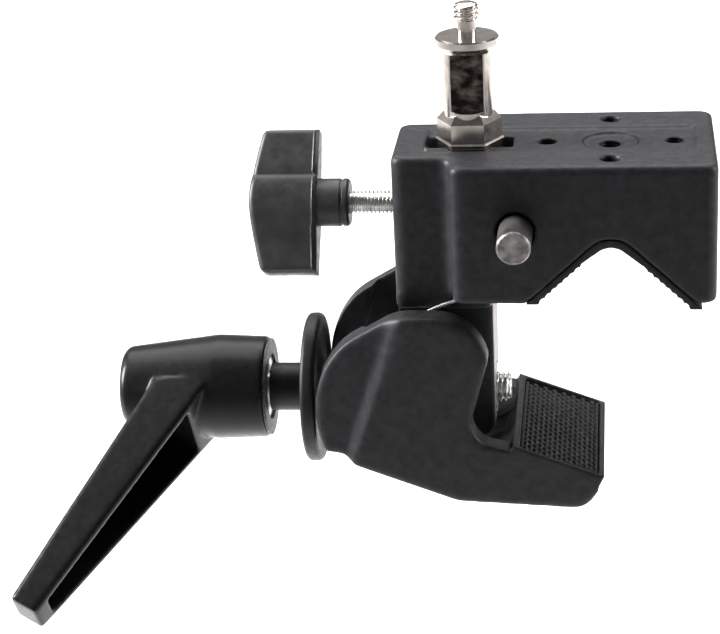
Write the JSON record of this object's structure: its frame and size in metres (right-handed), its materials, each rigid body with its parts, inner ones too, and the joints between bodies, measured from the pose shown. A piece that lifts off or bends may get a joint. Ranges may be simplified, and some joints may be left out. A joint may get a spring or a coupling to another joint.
{
  "type": "super clamp",
  "caption": "Screw clamp for round tube: a fixed toothed V jaw with a mounting stud and a pivoting lower jaw that a lever closes.",
  "frame": {"origin": "axis of a 35 mm tube seated in the V of the upper jaw, at the middle of the jaw depth", "axes": "+Z square to the top mounting face, towards the stud; +Y along the clamped tube; +X from the lever towards the jaw mouth"},
  "size_m": [0.1772, 0.0843, 0.1466],
  "materials": {
    "cast_body": "black powder coat over die casting",
    "v_liner": "moulded, toothed",
    "nickel_stud": "bright nickel plate",
    "brass_shoe": "turned",
    "steel_pin": "turned face, plain",
    "spring_steel": "drawn wire",
    "zinc_screw": "bright zinc plate",
    "black_plastic": "fine moulded grain",
    "cast_jaw": "dark grey powder coat over die casting",
    "rubber_pad": "moulded diamond tread",
    "black_steel": "black oxide",
    "sintered_steel": "sintered, speckled",
    "black_lever": "satin black paint on die casting"
  },
  "bodies": {
    "upper_body": {"upper_jaw": "cast_body", "v_jaw_liner": "v_liner", "spigot_stud": "nickel_stud", "retainer_pin": "steel_pin", "lock_pin_spring": "spring_steel", "pivot_pin": "steel_pin", "pivot_spacer": "black_plastic", "jaw_return_spring": "spring_steel", "threaded_bush": "zinc_screw"},
    "lower_jaw_body": {"lower_jaw": "cast_jaw", "jaw_pad": "rubber_pad"},
    "thrust_body": {"thrust_disc": "black_steel"},
    "screw_body": {"clamp_screw": "zinc_screw", "spacer_sleeve": "black_steel", "ratchet_insert": "zinc_screw", "disc_retaining_ring": "black_steel", "lever_spring": "spring_steel", "lever_spring_washer": "zinc_screw", "lever_retaining_screw": "zinc_screw"},
    "lever_body": {"lever_handle": "black_lever", "lever_toothed_bush": "sintered_steel"},
    "shoe_body": {"stud_clamp_shoe": "brass_shoe"},
    "knob_body": {"wing_knob": "black_plastic", "knob_screw": "zinc_screw"},
    "lock_pin_body": {"lock_pin": "steel_pin"}
  },
  "joints": [
    {"name": "jaw_swing", "type": "hinge", "parent": "upper_body", "child": "lower_jaw_body", "pos_m": [-0.0448, 0, -0.01056], "axis": [0, -1, 0], "range_deg": [-4.1, 57.2], "deforming": ["jaw_return_spring"]},
    {"name": "clamp_feed", "type": "slide", "parent": "upper_body", "child": "thrust_body", "axis": [1, 0, 0], "range_m": [-0.00096, 0.01372]},
    {"name": "clamp_spin", "type": "hinge", "parent": "thrust_body", "child": "screw_body", "pos_m": [-0.08, 0, -0.02556], "axis": [1, 0, 0], "range_deg": [-278, 3954]},
    {"name": "lever_lift", "type": "slide", "parent": "screw_body", "child": "lever_body", "axis": [-1, 0, 0], "range_m": [0, 0.0045], "stiffness_N_per_m": 800, "springref_m": -0.006, "deforming": ["lever_spring"]},
    {"name": "knob_feed", "type": "slide", "parent": "upper_body", "child": "shoe_body", "axis": [1, 0, 0], "range_m": [-0.002, 0]},
    {"name": "knob_spin", "type": "hinge", "parent": "shoe_body", "child": "knob_body", "pos_m": [-0.06, 0, 0.02654], "axis": [1, 0, 0], "range_deg": [-720, 0]},
    {"name": "lock_pin_push", "type": "slide", "parent": "upper_body", "child": "lock_pin_body", "axis": [0, 1, 0], "range_m": [0, 0.004], "stiffness_N_per_m": 600, "springref_m": -0.004, "deforming": ["lock_pin_spring"]}
  ],
  "couplings": [
    {"joint": "clamp_spin", "follows": "clamp_feed", "rad_per_m": 5026.5},
    {"joint": "jaw_swing", "follows": "clamp_feed", "rad_per_m": 72.464},
    {"joint": "knob_spin", "follows": "knob_feed", "rad_per_m": 6283.2}
  ]
}
